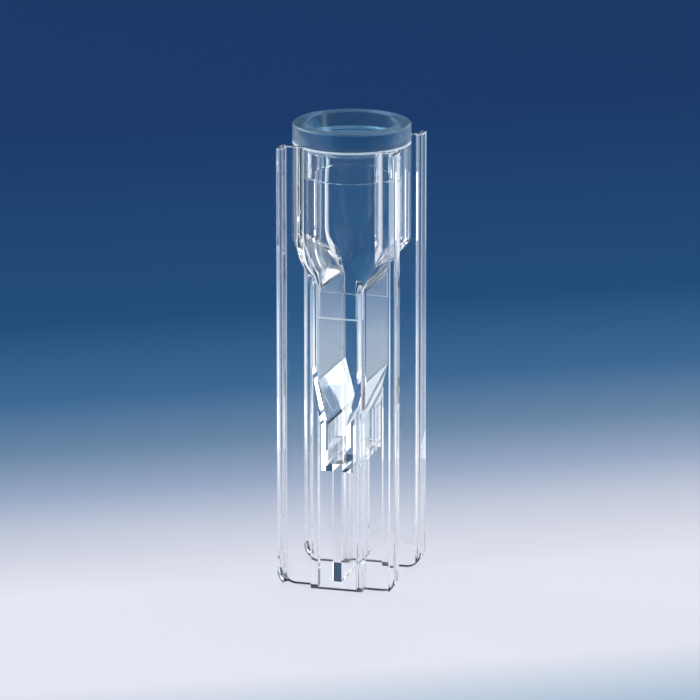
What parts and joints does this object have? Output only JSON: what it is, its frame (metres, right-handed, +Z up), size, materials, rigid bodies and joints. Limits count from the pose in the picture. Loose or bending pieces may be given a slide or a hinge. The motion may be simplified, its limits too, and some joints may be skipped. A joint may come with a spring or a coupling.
{
  "type": "micro cuvette with cap",
  "caption": "Tall clear micro cuvette: round mouth tube with a dished push-in cap, funnel, narrow chambers with flat windows, and a ribbed flange at the front and back.",
  "frame": {"origin": "middle of the base, on the surface that the cuvette stands on", "axes": "+Z up to the mouth, +Y along the light path from the front window to the back window, +X across the flanges"},
  "size_m": [0.0122, 0.0118, 0.0468],
  "materials": {
    "clear_plastic": "polished, colourless and clear",
    "milky_plastic": "smooth, milky and translucent"
  },
  "bodies": {
    "cuvette": {"cuvette_body": "clear_plastic"},
    "cap": {"cap": "milky_plastic"}
  },
  "joints": [
    {"name": "cap_lift", "type": "slide", "parent": "cuvette", "child": "cap", "axis": [0, 0, 1], "range_m": [0, 0.009]}
  ]
}
